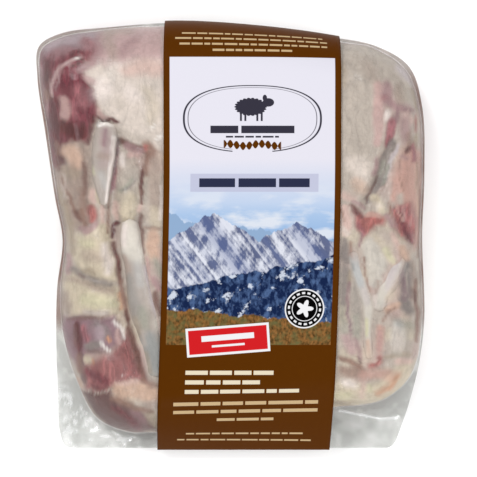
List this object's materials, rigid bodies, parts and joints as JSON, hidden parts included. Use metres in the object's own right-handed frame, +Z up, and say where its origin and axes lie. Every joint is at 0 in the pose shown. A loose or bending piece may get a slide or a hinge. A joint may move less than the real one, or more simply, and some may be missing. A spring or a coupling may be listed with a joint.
{
  "type": "vacuum packed rack of lamb",
  "caption": "Racks of lamb nested head to tail in a clear shrunk vacuum bag with a flat sealed end, with a printed sleeve band round the pack lengthways.",
  "frame": {"origin": "middle of the pack's footprint box, on the surface that the pack lies on", "axes": "+Z up out of the shown front face, +Y along the pack towards the end where the band's top edge rolls over, away from the sealed flap, +X to the right across the pack"},
  "size_m": [0.1803, 0.1996, 0.0474],
  "materials": {
    "packed_meat": "raw lamb, fat and bone seen through tight clear film",
    "lean_and_fat": "moist raw meat with cream fat",
    "rib_bone": "moist pale bone under thin membrane",
    "clear_film": "glossy clear shrink film with fine wrinkles",
    "printed_band": "coated card with a satin print"
  },
  "bodies": {
    "root": {"vacuum_pack": "packed_meat", "label_band": "printed_band"}
  },
  "joints": []
}
